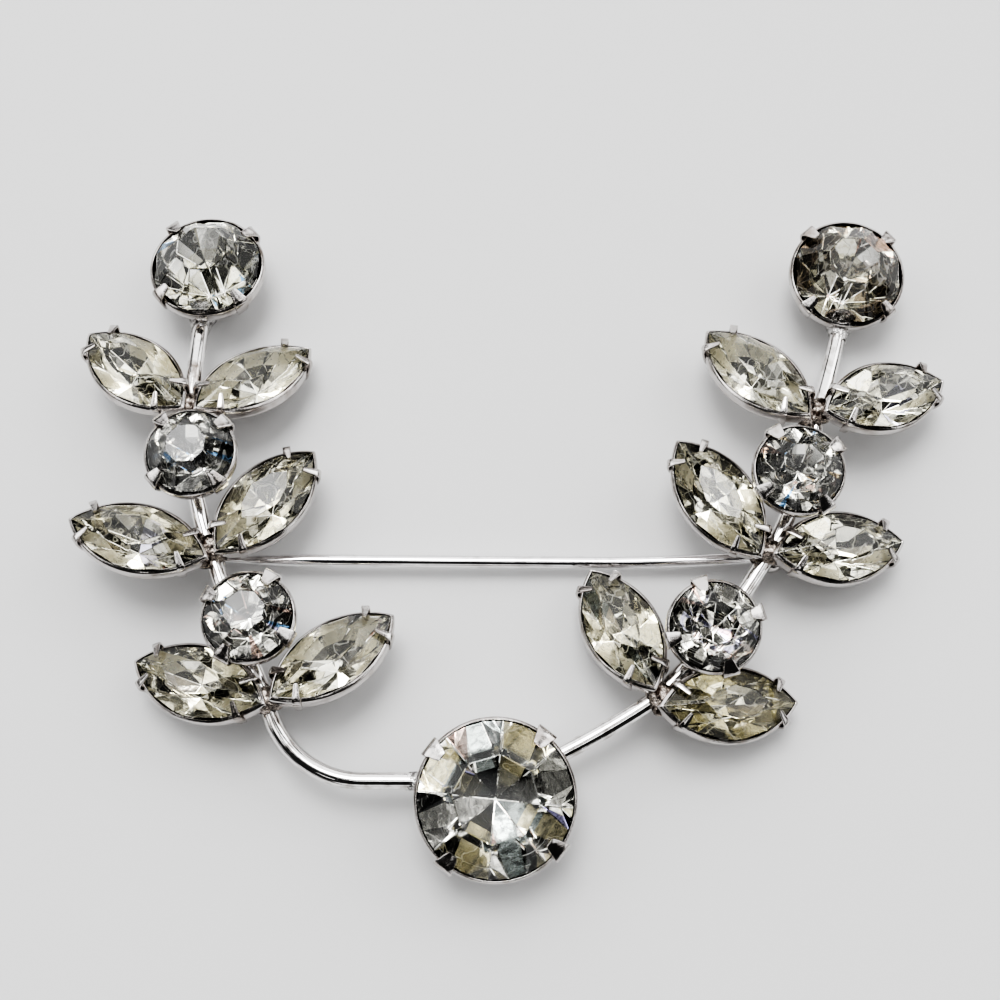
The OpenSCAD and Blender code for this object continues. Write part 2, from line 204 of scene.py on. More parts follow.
# The room: its tone low down and overhead, how dark its horizon is, its clutter, and patches in its sky
ROOM_LOW = 0.6
ROOM_HIGH = 0.95
HORIZON = 0.15
HORIZON_HEIGHTS = (0.08, 0.2)
CLUTTER = 4.5
CLUTTER_EDGES = (0.47, 0.53)
CLUTTER_TONES = (0.1, 1.5)
PATCHES = [
    # azimuth, elevation, radius, soft edge, tone
    (-5, 34, 24, 10, 1.1),
    (-14, 67, 13, 4, 5.6),
    (60, 35, 12, 5, 1.9),
    (-75, 38, 10, 5, 1.6),
    (180, 20, 14, 6, 0.6),
    (180, 60, 27, 3, 0.02),
    (140, 36, 22, 3, 0.02),
    (-140, 36, 22, 3, 0.02),
    (150, 66, 4, 2, 1.4),
    (-155, 52, 3, 1, 1.2),
    (175, 82, 3, 1, 1.4),
]


def mm(point):
    return Vector(point) * MM


def polar(radius, degrees):
    return radius * math.cos(math.radians(degrees)), radius * math.sin(math.radians(degrees))


def turned(degrees):
    return Matrix.Rotation(math.radians(degrees), 4, "Z")


def place(setting):
    """The matrix, in millimetres, that puts a setting's stone and cup where they belong."""
    _, _, x, y, z, turn, lean_to, lean, roll, _ = setting
    leaning = turned(lean_to) @ Matrix.Rotation(math.radians(lean), 4, "Y") @ turned(turn - lean_to)
    return Matrix.Translation((x, y, z)) @ leaning @ Matrix.Rotation(math.radians(roll), 4, "X")


# Shader nodes

# Grains in millimetres, and the noise values between which each change takes place
TARNISH_SPAN = 0.25
GLOSS_MM = 0.5
GLOSS_EDGES = (0.3, 0.7)
GLASS_IOR = 1.58
WEAR_MM = 0.6
WEAR_EDGES = (0.55, 0.8)
WORN_ROUGHNESS = 0.06
SPECK_MM = 0.5
SPECK_EDGES = (0.5, 0.75)
SPECK_GLOSS_EDGES = (0.4, 0.7)
FOLD_EDGES = (0.002, 0.014)
FOLD_METAL = 0.4


def material(name, colour, metallic=0.0, roughness=0.3, **sockets):
    """A new material with its Principled shader set, and its nodes, its links and the shader."""
    made = bpy.data.materials.new(name)
    made.use_nodes = True
    tree = made.node_tree
    shader = tree.nodes["Principled BSDF"]
    shader.inputs["Base Color"].default_value = (*colour, 1)
    shader.inputs["Metallic"].default_value = metallic
    shader.inputs["Roughness"].default_value = roughness
    for socket, value in sockets.items():
        shader.inputs[socket.replace("_", " ")].default_value = value
    return made, tree.nodes, tree.links, shader


def noise_node(nodes, links, scale_mm, detail=4, stretch=(1, 1, 1)):
    """Noise whose grains are about scale_mm across, in the object's own coordinates."""
    where = nodes.new("ShaderNodeTexCoord")
    mapping = nodes.new("ShaderNodeMapping")
    mapping.inputs["Scale"].default_value = stretch
    grain = nodes.new("ShaderNodeTexNoise")
    grain.inputs["Scale"].default_value = 1 / (scale_mm * MM)
    grain.inputs["Detail"].default_value = detail
    links.new(where.outputs["Object"], mapping.inputs["Vector"])
    links.new(mapping.outputs["Vector"], grain.inputs["Vector"])
    return grain.outputs["Fac"]


def spread(nodes, links, value, low, high, to_low, to_high):
    """Maps a value from one range to another."""
    node = nodes.new("ShaderNodeMapRange")
    ends = {"From Min": low, "From Max": high, "To Min": to_low, "To Max": to_high}
    for socket, number in ends.items():
        node.inputs[socket].default_value = number
    links.new(value, node.inputs["Value"])
    return node.outputs["Result"]


def blend_colours(nodes, links, value, first, second):
    node = nodes.new("ShaderNodeMix")
    node.data_type = "RGBA"
    node.inputs["A"].default_value = (*first, 1)
    node.inputs["B"].default_value = (*second, 1)
    links.new(value, node.inputs["Factor"])
    return node.outputs["Result"]


def bump(nodes, links, shader, height, distance_mm, strength=1.0):
    node = nodes.new("ShaderNodeBump")
    node.inputs["Distance"].default_value = distance_mm * MM
    node.inputs["Strength"].default_value = strength
    links.new(height, node.inputs["Height"])
    links.new(node.outputs["Normal"], shader.inputs["Normal"])


def plated_silver(name, colour, tarnish, roughness, pits_mm, pit_depth, patch_mm=1.6, spared=0.5):
    """Bright plating with tarnished patches, uneven gloss and fine pits."""
    made, nodes, links, shader = material(name, colour, metallic=1.0)
    patches = noise_node(nodes, links, patch_mm, detail=6)
    where = spread(nodes, links, patches, spared, spared + TARNISH_SPAN, 0, 1)
    links.new(blend_colours(nodes, links, where, colour, tarnish), shader.inputs["Base Color"])
    gloss = noise_node(nodes, links, GLOSS_MM, detail=5)
    links.new(spread(nodes, links, gloss, *GLOSS_EDGES, *roughness), shader.inputs["Roughness"])
    bump(nodes, links, shader, noise_node(nodes, links, pits_mm, detail=3), pit_depth)
    return made


def cut_glass(name, colour):
    made, nodes, links, shader = material(
        name, colour, roughness=0.0, IOR=GLASS_IOR, Transmission_Weight=1.0
    )
    wear = noise_node(nodes, links, WEAR_MM, detail=6)
    links.new(spread(nodes, links, wear, *WEAR_EDGES, 0.0, WORN_ROUGHNESS), shader.inputs["Roughness"])
    return made


def foil(name, colour, dulled, gloss=(0.02, 0.08), metallic=1.0, folds_mm=2.4):
    """The mirror behind a stone, with its dull spots and with fine wrinkles that catch the light."""
    made, nodes, links, shader = material(name, colour, metallic=metallic)
    specks = noise_node(nodes, links, SPECK_MM, detail=3)
    where = spread(nodes, links, specks, *SPECK_EDGES, 0, 1)
    links.new(blend_colours(nodes, links, where, colour, dulled), shader.inputs["Base Color"])
    links.new(spread(nodes, links, specks, *SPECK_GLOSS_EDGES, *gloss), shader.inputs["Roughness"])
    folds = noise_node(nodes, links, folds_mm, detail=2)
    centred = nodes.new("ShaderNodeMath")
    centred.operation = "SUBTRACT"
    centred.inputs[1].default_value = 0.5
    links.new(folds, centred.inputs[0])
    height = nodes.new("ShaderNodeMath")
    height.operation = "ABSOLUTE"
    links.new(centred.outputs["Value"], height.inputs[0])
    wrinkles = spread(nodes, links, height.outputs["Value"], *FOLD_EDGES, FOLD_METAL * metallic, metallic)
    links.new(wrinkles, shader.inputs["Metallic"])
    return made


# Plating of the cups, prongs, hinge, catch and rivet: the wire's plating, painted darker as shade
SHADE_PAINTED_PLATE = plated_silver("silver_painted_shade", (0.64, 0.615, 0.60), (0.33, 0.29, 0.26), (0.08, 0.2), 0.12, 0.008)
WIRE = plated_silver(
    "wire_plate", (0.9, 0.885, 0.875), (0.3, 0.26, 0.23), (0.05, 0.12), 0.3, 0.004,
    patch_mm=1.2, spared=0.52,
)
SOLDER = plated_silver(
    "solder", (0.6, 0.54, 0.49), (0.03, 0.02, 0.015), (0.08, 0.3), 0.2, 0.12,
    patch_mm=0.5, spared=0.35,
)
COLLAR_GREY = plated_silver(
    "collar_solder", (0.7, 0.69, 0.68), (0.06, 0.05, 0.045), (0.08, 0.25), 0.2, 0.1,
    patch_mm=0.5, spared=0.42,
)
PIN = plated_silver("pin_steel", (0.88, 0.87, 0.875), (0.6, 0.58, 0.58), (0.05, 0.1), 0.4, 0.003)
GLASS = {
    "clear": cut_glass("clear_glass", (0.985, 0.98, 0.95)),
    "pale": cut_glass("navette_glass", (0.975, 0.96, 0.87)),
    # Tinted glasses for single crown facets, which paint the colour flashes of dispersed light
    "blue flash": cut_glass("painted_flash_blue", (0.1, 0.35, 1.0)),
    "violet flash": cut_glass("painted_flash_violet", (0.4, 0.36, 1.0)),
    "amber flash": cut_glass("painted_flash_amber", (1.0, 0.7, 0.3)),
    "rust flash": cut_glass("painted_flash_rust", (0.75, 0.42, 0.34)),
}
RIBS = foil("foil_ribs", (0.9, 0.9, 0.88), (0.8, 0.8, 0.76))
FOILS = {
    "silver": foil("foil_silver", (0.84, 0.835, 0.8), (0.6, 0.6, 0.57)),
    "bright": foil("foil_bright", (0.95, 0.95, 0.93), (0.8, 0.8, 0.77)),
    "frosted": foil("foil_frosted", (0.78, 0.78, 0.74), (0.4, 0.4, 0.38), (0.1, 0.3), 0.88, 1.3),
    # Grey and dark: foils darkened to paint the dark reflections that facets show
    "grey": foil("foil_painted_grey_reflection", (0.34, 0.34, 0.335), (0.2, 0.2, 0.2), (0.04, 0.2), 0.92, 1.3),
    "dark": foil("foil_painted_dark_reflection", (0.08, 0.08, 0.08), (0.05, 0.05, 0.05)),
    "aged": foil("foil_aged", (0.84, 0.83, 0.74), (0.6, 0.58, 0.46)),
    "olive": foil("foil_olive", (0.5, 0.485, 0.4), (0.36, 0.34, 0.26), (0.03, 0.1), 0.95),
    "brown": foil("foil_brown", (0.38, 0.31, 0.23), (0.27, 0.21, 0.15), (0.03, 0.1), 0.95),
    "beige": foil("foil_beige", (0.88, 0.86, 0.77), (0.72, 0.70, 0.59), (0.03, 0.12)),
    "faded": foil("foil_faded", (0.80, 0.77, 0.64), (0.70, 0.66, 0.5), (0.25, 0.45), 0.7),
    "yellowed": foil("foil_yellowed", (0.84, 0.80, 0.60), (0.66, 0.6, 0.38), (0.08, 0.25), 0.85),
    # Lavender and rust paint colour flashes on single facets, and slate paints a blue-grey reflection
    "lavender": foil("foil_painted_lavender_flash", (0.74, 0.74, 0.95), (0.6, 0.6, 0.8)),
    "slate": foil("foil_painted_slate_reflection", (0.46, 0.51, 0.51), (0.3, 0.35, 0.36), (0.08, 0.3), 0.9, 1.3),
    "rust": foil("foil_painted_rust_flash", (0.5, 0.3, 0.24), (0.35, 0.2, 0.15)),
}

# Glass of each kind of stone, and of single stones, then the foils that its inner and outer facets are
# picked from, and those that its narrow facets take in turn. The grey and dark foils among them paint
# dark reflections; the others are the foil's own colour.
CLEAR_MAINS = ("silver", "bright", "silver", "grey")
CLEAR_FANS = ("dark", "bright", "grey", "bright", "dark", "silver", "beige")
LARGE_FANS = ("dark", "bright", "grey", "bright", "dark", "yellowed", "bright")
LOOKS = {
    "large": ("clear", ("frosted", "silver"), ("yellowed", "frosted", "silver"), LARGE_FANS),
    "tip": ("clear", ("olive", "aged", "silver"), ("bright", "bright", "aged"), ("aged", "bright", "olive")),
    "small": ("clear", CLEAR_MAINS, CLEAR_MAINS, CLEAR_FANS),
    "leaf": (
        "pale", ("beige", "bright", "beige"), ("beige", "bright", "faded"),
        ("faded", "bright", "aged", "bright"),
    ),
    "right_tip_stone": (
        "clear", ("aged", "olive"), ("aged", "bright", "brown"),
        ("brown", "aged", "bright"),
    ),
    "right_leaf_3b": ("pale", ("yellowed", "beige"), ("yellowed", "olive"), ("faded", "olive", "yellowed")),
}

# Facets with a foil or glass of their own: stone, ring of facets, direction in the face, and the colour,
# which is a foil in the pavilion and glass on the crown. The crown glasses and the lavender and rust foils
# paint colour flashes, the grey, dark and slate foils paint reflections of dark surroundings, and the rest
# are the foil's own colour.
FLASHES = [
    ("large_stone", "inner", 15, "grey"),
    ("large_stone", "inner", 60, "frosted"),
    ("large_stone", "inner", 105, "dark"),
    ("large_stone", "inner", 150, "grey"),
    ("large_stone", "inner", 195, "silver"),
    ("large_stone", "inner", 240, "dark"),
    ("large_stone", "inner", -75, "slate"),
    ("large_stone", "inner", -30, "slate"),
    ("large_stone", "outer", 15, "grey"),
    ("large_stone", "outer", 60, "yellowed"),
    ("large_stone", "outer", 105, "bright"),
    ("large_stone", "outer", 150, "bright"),
    ("large_stone", "outer", 195, "frosted"),
    ("large_stone", "outer", 240, "yellowed"),
    ("large_stone", "outer", -75, "slate"),
    ("large_stone", "outer", -30, "yellowed"),
    ("left_tip_stone", "outer", 140, "bright"),
    ("left_tip_stone", "fan", 20, "yellowed"),
    ("right_tip_stone", "wing", 75, "rust"),
    ("left_lower_stone", "fan", 14, "rust"),
    ("right_lower_stone", "inner", -30, "lavender"),
    ("left_leaf_2a", "inner", 60, "lavender"),
    ("left_leaf_2a", "fan", -70, "rust"),
    ("left_leaf_3b", "wing", 40, "rust"),
    ("right_leaf_1b", "inner", 20, "lavender"),
    ("right_leaf_3a", "outer", 120, "slate"),
    ("large_stone", "ray", -18, "violet flash"),
    ("large_stone", "ray", 112, "rust flash"),
    ("large_stone", "ray", 122, "rust flash"),
    ("left_tip_stone", "ray", 150, "blue flash"),
    ("left_tip_stone", "ray", 158, "blue flash"),
    ("left_tip_stone", "ray", 164, "blue flash"),
    ("right_tip_stone", "ray", -2, "amber flash"),
    ("right_tip_stone", "ray", 5, "rust flash"),
    ("right_tip_stone", "crown", 60, "rust flash"),
    ("left_upper_stone", "ray", -1, "blue flash"),
    ("left_upper_stone", "ray", -8, "blue flash"),
    ("left_upper_stone", "ray", 6, "blue flash"),
    ("left_lower_stone", "ray", -12, "blue flash"),
    ("left_lower_stone", "ray", -20, "blue flash"),
    ("left_lower_stone", "ray", -27, "violet flash"),
    ("left_lower_stone", "ray", 8, "rust flash"),
    ("left_lower_stone", "ray", -66, "rust flash"),
    ("left_lower_stone", "ray", -74, "rust flash"),
    ("right_upper_stone", "ray", -8, "amber flash"),
    ("right_upper_stone", "ray", -14, "amber flash"),
    ("right_upper_stone", "ray", 124, "amber flash"),
    ("right_upper_stone", "ray", 143, "rust flash"),
    ("right_upper_stone", "ray", 151, "rust flash"),
    ("right_upper_stone", "ray", 243, "blue flash"),
    ("right_lower_stone", "ray", -24, "violet flash"),
    ("right_lower_stone", "ray", -16, "violet flash"),
    ("right_lower_stone", "ray", 115, "rust flash"),
    ("right_lower_stone", "ray", 143, "rust flash"),
    ("right_lower_stone", "ray", 151, "rust flash"),
]


# Meshes


def new_piece(name, mesh, materials, body="brooch"):
    """An object made of a bmesh in millimetres, riding on a body."""
    data = bpy.data.meshes.new(name)
    mesh.transform(Matrix.Scale(MM, 4))
    for edge in mesh.edges:
        edge.smooth = edge.calc_face_angle(0) < math.radians(SHARP)
    mesh.to_mesh(data)
    mesh.free()
    for one in materials:
        data.materials.append(one)
    piece = bpy.data.objects.new(name, data)
    bpy.context.scene.collection.objects.link(piece)
    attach(piece, body)
    return piece


def face_outwards(mesh, faces):
    """Turns a closed shell's faces outwards, whichever way they were made."""
    bmesh.ops.recalc_face_normals(mesh, faces=faces)
    volume = 0
    for face in faces:
        first, *rest = [vertex.co for vertex in face.verts]
        volume += sum(first.dot(one.cross(other)) for one, other in zip(rest, rest[1:]))
    if volume < 0:
        bmesh.ops.reverse_faces(mesh, faces=faces)


def soften(mesh, edges, width, segments):
    """Bevels edges, and returns what the bevel made."""
    return bmesh.ops.bevel(
        mesh, geom=edges, offset=width, segments=segments, affect="EDGES", clamp_overlap=True, material=-1
    )


def add_box(mesh, middle, size):
    matrix = Matrix.Translation(middle) @ Matrix.Diagonal((*size, 1))
    bmesh.ops.create_cube(mesh, size=1, matrix=matrix)


def loft(mesh, rings, smooth=True, closed=True):
    """Joins rings of as many points each by quads, and closes both ends unless the rings form a loop."""
    rows = [[mesh.verts.new(point) for point in ring] for ring in rings]
    count = len(rings[0])
    pairs = list(zip(rows, rows[1:])) + ([] if closed else [(rows[-1], rows[0])])
    faces = [
        mesh.faces.new((low[i], low[(i + 1) % count], high[(i + 1) % count], high[i]))
        for low, high in pairs
        for i in range(count)
    ]
    if closed:
        faces += [mesh.faces.new(rows[0][::-1]), mesh.faces.new(rows[-1])]
    for face in faces:
        face.smooth = smooth
    face_outwards(mesh, faces)
    return [vertex for row in rows for vertex in row]


def edge_at(kind, degrees):
    """Distance from the middle to the stone's edge, at an angle from its long axis."""
    if kind != "leaf":
        return HALF_WIDTH[kind]
    cosine, sine = polar(1, degrees)
    return math.sqrt(ARC_R**2 - (ARC_SHIFT * cosine) ** 2) - ARC_SHIFT * abs(sine)


def cut_angle(kind, degrees):
    """Navettes have the corners of their cut spread evenly along the outline, not round the middle."""
    if kind != "leaf":
        return degrees
    cosine, sine = polar(1, degrees)
    return math.degrees(math.atan2(2 * HALF_WIDTH[kind] * sine, NAVETTE_L * cosine))


def cut_point(kind, share, angle, height):
    angle = cut_angle(kind, angle)
    return (*polar(share * edge_at(kind, angle), angle), height)


def facet_foils(setting):
    """The foil of each pavilion facet, by its ring's name, its main's number and a narrow facet's number.

    The wings are the outer facets' two corners beside the fans, foiled apart from the rest of the facet.
    Crown facets with tinted glass of their own, main ones and the narrow rays, come in a second table; that
    glass paints colour flashes.
    """
    name, kind = setting[:2]
    _, inner, outer, fan = LOOKS.get(name, LOOKS[kind])
    angles = FAN_ANGLES[kind]
    pick = random.Random(name)
    foils = {}
    crown = {}
    for i in range(MAINS):
        foils["inner", i, 0] = pick.choice(inner)
        foils["outer", i, 0] = pick.choice(outer)
        turn = pick.randrange(len(fan))
        foils["wing", i, 0] = fan[turn]
        for k in range(len(angles) - 1):
            turn += 1
            foils["fan", i, k] = fan[turn % len(fan)]
        foils["wing", i, 1] = fan[(turn + 1) % len(fan)]
    step = 360 / MAINS
    for stone, part, angle, colour_or_painted_light in FLASHES:
        if stone != name:
            continue
        beyond = angle - setting[5] - setting[9]
        table = crown if part in ("crown", "ray") else foils
        if part in ("fan", "ray"):
            corner = round(beyond / step)
            side = beyond - corner * step
            k = sum(side > one for one in angles[1:-1])
            table[part, corner % MAINS, k] = colour_or_painted_light
        else:
            half = int(part == "wing" and beyond % step > step / 2)
            table[part, int(beyond // step) % MAINS, half] = colour_or_painted_light
    return foils, crown


def cut_stone(setting):
    """A table, main crown facets with fans of narrow ones between, a girdle, and a like foiled pavilion."""
    name, kind = setting[:2]
    mesh = bmesh.new()
    w = HALF_WIDTH[kind]
    step = 360 / MAINS
    depth = PAVILION_SHARE * w
    fan = FAN_ANGLES[kind]
    n = len(fan)
    flat = polar(1, step / 2)[0] / polar(1, step / 2 - fan[-1])[0]
    lower_h = (depth - GIRDLE_H) * LOWER_SHARE * flat - depth
    inner_h = (depth - GIRDLE_H) * INNER_SHARE * flat - depth

    def ring(share, height, angles):
        return [mesh.verts.new(cut_point(kind, share, angle, height)) for angle in angles]

    corners = [i * step for i in range(MAINS)]
    fans = [corner + side for corner in corners for side in fan]
    top = ring(TABLE_SHARE[kind], CROWN_SHARE[kind] * w, corners)
    edge = ring(1, 0, fans)
    under = ring(1, -GIRDLE_H, fans)
    lower = ring(LOWER_SHARE, lower_h, corners)
    inner = ring(INNER_SHARE, inner_h, corners)
    culet = mesh.verts.new((0, 0, -depth))
    mesh.faces.new(top)
    foils, crown = facet_foils(setting)
    names = sorted(set(foils.values()))
    glass = LOOKS.get(name, LOOKS[kind])[0]
    used = [GLASS[glass], RIBS] + [FOILS[one] for one in names]
    used += [GLASS[one] for one in sorted(set(crown.values()))]

    def backed(points, part, i, k=0):
        mesh.faces.new(points).material_index = 2 + names.index(foils[part, i, k])

    # A crown facet takes the stone's own glass, or a tinted glass that paints a colour flash
    def front(points, part, i, k=0):
        mesh.faces.new(points).material_index = used.index(GLASS[crown.get((part, i, k), glass)])

    for i in range(MAINS):
        after = (i + 1) % MAINS
        last, beyond = n * i + n - 1, n * after
        front((top[i], edge[last], edge[beyond], top[after]), "crown", i)
        for k in range(n - 1):
            j = n * i + k
            front((top[i], edge[j], edge[j + 1]), "ray", i, k)
            backed((lower[i], under[j + 1], under[j]), "fan", i, k)
        backed((inner[i], inner[after], under[beyond], under[last]), "outer", i)
        backed((inner[i], under[last], lower[i]), "wing", i, 0)
        backed((inner[after], lower[after], under[beyond]), "wing", i, 1)
        backed((culet, inner[after], inner[i]), "inner", i)
    for i in range(n * MAINS):
        after = (i + 1) % (n * MAINS)
        mesh.faces.new((edge[i], under[i], under[after], edge[after])).material_index = 1
    face_outwards(mesh, mesh.faces[:])
    sharp = [one for one in mesh.edges if one.calc_face_angle() > RIBBED]
    bevel = soften(mesh, sharp, RIB_SHARE[kind] * w, 1)
    for face in bevel["faces"]:
        if face.calc_center_median().z < -GIRDLE_H:
            face.material_index = 1
    mesh.transform(place(setting) @ turned(setting[9]))
    piece = new_piece("cut_" + name, mesh, used)
    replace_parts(piece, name)


def outline(kind, offset):
    """A cup's outline, this far outside its stone's edge. A navette's has small round tips."""
    if kind != "leaf":
        radius = HALF_WIDTH[kind] + offset
        return [polar(radius, i * 360 / ROUND_SIDES) for i in range(ROUND_SIDES)]
    radius = ARC_R + offset
    tip_x = math.sqrt((radius - NAVETTE_TIP_R) ** 2 - ARC_SHIFT**2)
    reach = math.degrees(math.atan2(tip_x, ARC_SHIFT))
    points = []
    for side in (1, -1):
        for i in range(LEAF_ARC_STEPS + 1):
            x, y = polar(radius, side * (90 - reach + 2 * reach * i / LEAF_ARC_STEPS))
            points.append((x, y - side * ARC_SHIFT) if side > 0 else (-x, y + ARC_SHIFT))
        for i in range(1, LEAF_TIP_STEPS):
            bend = side * (180 - 2 * reach) * i / LEAF_TIP_STEPS
            x, y = polar(NAVETTE_TIP_R, side * (90 + reach) + bend)
            points.append((x - tip_x, y) if side > 0 else (-x + tip_x, y))
    return points


def rounded(points, radius, steps=4):
    """A line with each inner corner replaced by a short curve."""
    result = [Vector(points[0])]
    for before, corner, after in zip(points, points[1:], points[2:]):
        before, corner, after = Vector(before), Vector(corner), Vector(after)
        reach_in = min(radius, (before - corner).length * 0.45)
        reach_out = min(radius, (after - corner).length * 0.45)
        start = corner + (before - corner).normalized() * reach_in
        end = corner + (after - corner).normalized() * reach_out
        for i in range(steps + 1):
            t = i / steps
            result.append((1 - t) ** 2 * start + 2 * t * (1 - t) * corner + t**2 * end)
    result.append(Vector(points[-1]))
    return result


def cup_side(w, inner):
    """How far outside the stone's edge a cup's side is, and its height, from the base to the rim."""
    depth = PAVILION_SHARE * w + STONE_GAP + CUP_WALL - inner
    shoulder_h = CUP_BAND + SHOULDER_DROP * (depth - CUP_BAND)
    wall = STONE_GAP + CUP_WALL - inner
    return [
        (-BASE_INSET * w - inner, -depth),
        (-SHOULDER_INSET * w - inner, -shoulder_h),
        (wall, -CUP_BAND),
        (wall, RIM_H),
    ]


def cup(mesh, kind):
    """A cup of sheet metal, hollow down to its base, with a rim that slopes outwards."""
    w = HALF_WIDTH[kind]
    side = cup_side(w, 0) + cup_side(w, CUP_WALL)[::-1]
    outer, inner = side[3][0], side[4][0]
    rim = [
        (outer, -0.3),
        (outer - 0.02, RIM_H - 0.14),
        (outer - 0.05, RIM_H - 0.09),
        (inner + 0.04, RIM_H),
        (inner + 0.01, RIM_H - 0.02),
        (inner, RIM_H - 0.06),
        (inner, -0.35),
    ]
    profile = rounded(side[:3] + rim[:1], CUP_BENDS[0])[:-1] + rim
    profile += rounded(rim[-1:] + side[5:], CUP_BENDS[1])[1:]
    return loft(mesh, [[(x, y, p[1]) for x, y in outline(kind, p[0])] for p in profile])


def prong(mesh, r, width, reach):
    """A tab that stands on the cup's wall, bends outwards and folds in over the stone.

    r is the stone's edge there. A row of the path is how far outside that edge, how high, and what share of
    the full width.
    """
    path = [
        (0.14, -1.3, 0.7),
        (0.24, -1.05, 0.85),
        (0.38, -0.5, 0.95),
        (0.45, -0.12, 1.0),
        (0.46, 0.1, 1.0),
        (0.4, 0.3, 1.0),
        (0.25, 0.42, 0.95),
        (0.0, 0.52, 0.8),
        (-0.42 * reach, 0.64, 0.7),
        (-0.83 * reach, 0.77, 0.56),
        (-reach, 0.82, 0.45),
    ]
    middle = [Vector((r + out, 0, up)) for out, up, _ in path]
    rings = []
    for i, (_, _, share) in enumerate(path):
        ahead = (middle[min(i + 1, len(path) - 1)] - middle[max(i - 1, 0)]).normalized()
        outward = Vector((ahead.z, 0, -ahead.x))
        half_w = width * share / 2
        ring = []
        for corner in range(4):
            side = (1, -1, -1, 1)[corner]
            face = (1, 1, -1, -1)[corner]
            for bend in (0, 45, 90):
                across, through = polar(PRONG_SOFT, bend + 90 * corner)
                across += side * (half_w - PRONG_SOFT)
                through += face * (PRONG_HALF_T - PRONG_SOFT)
                ring.append(middle[i] + Vector((0, across, 0)) + outward * through)
        rings.append(ring)
    return loft(mesh, rings)


def build_setting(setting):
    name, kind = setting[:2]
    mesh = bmesh.new()
    cup(mesh, kind)
    if kind == "leaf":
        for side in (-1, 1):
            for end in (-1, 1):
                tab = prong(mesh, ARC_R, PRONG_W[kind], PRONG_REACH[kind])
                aside = Matrix.Translation((0, -side * ARC_SHIFT, 0))
                where = aside @ turned(side * 90 + end * LEAF_PRONG_ANGLE)
                bmesh.ops.transform(mesh, matrix=where, verts=tab)
    else:
        for i in range(4):
            tab = prong(mesh, HALF_WIDTH[kind], PRONG_W[kind], PRONG_REACH[kind])
            bmesh.ops.transform(mesh, matrix=turned(90 * i), verts=tab)
    mesh.transform(place(setting))
    return new_piece("setting_" + name, mesh, [SHADE_PAINTED_PLATE])


def arc_points(a, via, c, steps):
    """Points on the arc from a through a second point to c."""
    a, via, c = Vector(a), Vector(via), Vector(c)
    p, q = via - a, c - a
    normal = p.cross(q)
    centre = a + (normal.cross(p) * q.length_squared + q.cross(normal) * p.length_squared) / (
        2 * normal.length_squared
    )
    start = a - centre
    axis = normal.normalized()
    across = axis.cross(start)
    end = c - centre
    angle = math.atan2(end.dot(across.normalized()), end.dot(start.normalized())) % (2 * math.pi)
    turns = [angle * i / steps for i in range(steps + 1)]
    return [centre + start * math.cos(turn) + across * math.sin(turn) for turn in turns]


def chain(arcs, steps=16):
    points = []
    for a, via, c in arcs:
        points += arc_points(a, via, c, steps)[(1 if points else 0):]
    return points


def tube(mesh, points, radii, sides=24):
    """A round bar along points, with a radius at each."""
    points = [Vector(p) for p in points]
    up = Vector((0, 0, 1))
    rings = []
    for i, point in enumerate(points):
        ahead = (points[min(i + 1, len(points) - 1)] - points[max(i - 1, 0)]).normalized()
        side = ahead.cross(up).normalized()
        top = side.cross(ahead)
        spokes = [polar(1, k * 360 / sides) for k in range(sides)]
        rings.append([point + radii[i] * (side * x + top * z) for x, z in spokes])
    return loft(mesh, rings)


def build_wires():
    for name, arcs in (("left_wire", LEFT_WIRE), ("right_wire", RIGHT_WIRE)):
        mesh = bmesh.new()
        points = chain(arcs)
        tube(mesh, points, [WIRE_D / 2] * len(points))
        new_piece(name, mesh, [WIRE])
    mesh = bmesh.new()
    ahead = Vector(LAST_BEND) - Vector(LAST_START)
    points = [Vector(LAST_START), Vector(LAST_START) + ahead / 2]
    points += tangent_arc(LAST_BEND, ahead, L3, BEND_STEPS)
    tube(mesh, points, [WIRE_D / 2] * len(points))
    new_piece("lower_left_wire", mesh, [WIRE])


def tangent_arc(a, ahead, c, steps):
    """Points on the arc that leaves a in the direction ahead and ends at c."""
    a, c = Vector(a), Vector(c)
    ahead = Vector(ahead).normalized()
    inward = ahead.cross(c - a).normalized().cross(ahead)
    radius = (c - a).length_squared / (2 * (c - a).dot(inward))
    centre = a + radius * inward
    angle = math.atan2((c - centre).dot(ahead), -(c - centre).dot(inward))
    return [
        centre - radius * inward * math.cos(angle * i / steps) + radius * ahead * math.sin(angle * i / steps)
        for i in range(steps + 1)
    ]


def lump(name, blobs, metal, voxel=0.1, rough=0.08):
    """Solder: balls run together, smoothed and pitted. Each ball is a place and a radius in millimetres."""
    mesh = bmesh.new()
    for where, radius in blobs:
        bmesh.ops.create_icosphere(mesh, subdivisions=3, radius=radius, matrix=Matrix.Translation(where))
    piece = new_piece(name, mesh, [metal])
    melt = piece.modifiers.new("melt", "REMESH")
    melt.mode = "VOXEL"
    melt.voxel_size = voxel * MM
    melt.use_smooth_shade = True
    smooth = piece.modifiers.new("smooth", "SMOOTH")
    smooth.iterations = 6
    depsgraph = bpy.context.evaluated_depsgraph_get()
    melted = bpy.data.meshes.new_from_object(piece.evaluated_get(depsgraph))
    piece.modifiers.clear()
    piece.data = melted
    for vertex in melted.vertices:
        height = noise.fractal(vertex.co / (LUMP_GRAIN * MM), 0.8, 2.0, 4)
        vertex.co += vertex.normal * height * rough * MM
    return piece


